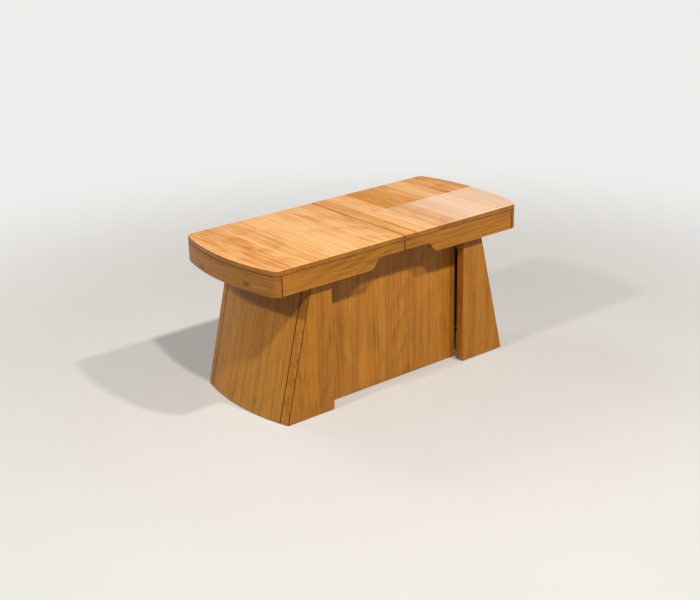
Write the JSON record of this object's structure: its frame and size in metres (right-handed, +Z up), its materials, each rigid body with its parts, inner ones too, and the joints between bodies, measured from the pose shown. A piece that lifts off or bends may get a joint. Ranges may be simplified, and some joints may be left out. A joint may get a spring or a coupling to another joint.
{
  "type": "extending pedestal bench",
  "caption": "Wooden bench whose bow-ended seat splits at the middle; each half slides out on its own raked pedestal from a fixed centre box.",
  "frame": {"origin": "on the floor, under the middle of the seat, at the centre of the bench's footprint", "axes": "+X along the seat towards the right half, +Z up, -Y towards the front"},
  "size_m": [0.9426, 0.42, 0.457],
  "materials": {
    "seat_wood": "satin lacquered hardwood, grain front to back",
    "apron_wood": "satin lacquered hardwood, grain along the board",
    "pedestal_wood": "satin lacquered hardwood, upright grain",
    "panel_wood": "satin lacquered hardwood, upright grain",
    "plain_wood": "unfinished planed hardwood",
    "zinc_steel": "zinc plated",
    "nylon": "matt"
  },
  "bodies": {
    "centre_box": {"centre_front_panel": "panel_wood", "centre_rear_panel": "panel_wood", "centre_left_end_board": "plain_wood", "centre_right_end_board": "plain_wood", "centre_bottom_board": "plain_wood", "centre_corner_posts": "plain_wood", "front_centre_slide": "plain_wood", "rear_centre_slide": "plain_wood", "front_pinion_axle": "zinc_steel", "rear_pinion_axle": "zinc_steel", "centre_slide_screws": "zinc_steel", "centre_glides": "nylon"},
    "left_half": {"left_seat": "seat_wood", "left_rear_apron": "apron_wood", "left_front_apron": "apron_wood", "left_end_apron": "apron_wood", "left_rear_board": "pedestal_wood", "left_front_board": "pedestal_wood", "left_end_panel": "pedestal_wood", "left_lower_rail": "plain_wood", "left_upper_rail": "plain_wood", "left_glue_blocks": "plain_wood", "left_rear_runner": "plain_wood", "left_rear_rack": "nylon", "left_front_runner": "plain_wood", "left_front_rack": "nylon", "left_runner_screws": "zinc_steel", "left_lock_plate": "zinc_steel", "left_lock_strike": "zinc_steel", "left_lock_screws": "zinc_steel", "left_dowels": "plain_wood", "left_glides": "nylon"},
    "right_half": {"right_seat": "seat_wood", "right_front_apron": "apron_wood", "right_rear_apron": "apron_wood", "right_end_apron": "apron_wood", "right_front_board": "pedestal_wood", "right_rear_board": "pedestal_wood", "right_end_panel": "pedestal_wood", "right_lower_rail": "plain_wood", "right_upper_rail": "plain_wood", "right_glue_blocks": "plain_wood", "right_front_runner": "plain_wood", "right_front_rack": "nylon", "right_rear_runner": "plain_wood", "right_rear_rack": "nylon", "right_runner_screws": "zinc_steel", "right_lock_plate": "zinc_steel", "right_lock_strike": "zinc_steel", "right_lock_screws": "zinc_steel", "right_dowels": "plain_wood", "right_glides": "nylon"},
    "front_pinion": {"front_pinion": "nylon"},
    "rear_pinion": {"rear_pinion": "nylon"},
    "left_lock_arm": {"left_lock_arm": "zinc_steel"},
    "right_lock_arm": {"right_lock_arm": "zinc_steel"}
  },
  "joints": [
    {"name": "left_half_slide", "type": "slide", "parent": "centre_box", "child": "left_half", "axis": [-1, 0, 0], "range_m": [0, 0.254]},
    {"name": "right_half_slide", "type": "slide", "parent": "centre_box", "child": "right_half", "axis": [1, 0, 0], "range_m": [0, 0.254]},
    {"name": "front_pinion_spin", "type": "hinge", "parent": "centre_box", "child": "front_pinion", "pos_m": [0, -0.085, 0.408], "axis": [0, 0, 1], "range_deg": [-971, 0]},
    {"name": "rear_pinion_spin", "type": "hinge", "parent": "centre_box", "child": "rear_pinion", "pos_m": [0, 0.085, 0.408], "axis": [0, 0, 1], "range_deg": [-971, 0]},
    {"name": "left_lock_turn", "type": "hinge", "parent": "left_half", "child": "left_lock_arm", "pos_m": [-0.018, -0.17, 0.4367], "axis": [0, 0, -1], "range_deg": [0, 180]},
    {"name": "right_lock_turn", "type": "hinge", "parent": "right_half", "child": "right_lock_arm", "pos_m": [0.018, 0.17, 0.4367], "axis": [0, 0, -1], "range_deg": [0, 180]}
  ],
  "couplings": [
    {"joint": "right_half_slide", "follows": "left_half_slide", "ratio": 1},
    {"joint": "front_pinion_spin", "follows": "left_half_slide", "rad_per_m": -66.667},
    {"joint": "rear_pinion_spin", "follows": "left_half_slide", "rad_per_m": -66.667}
  ]
}
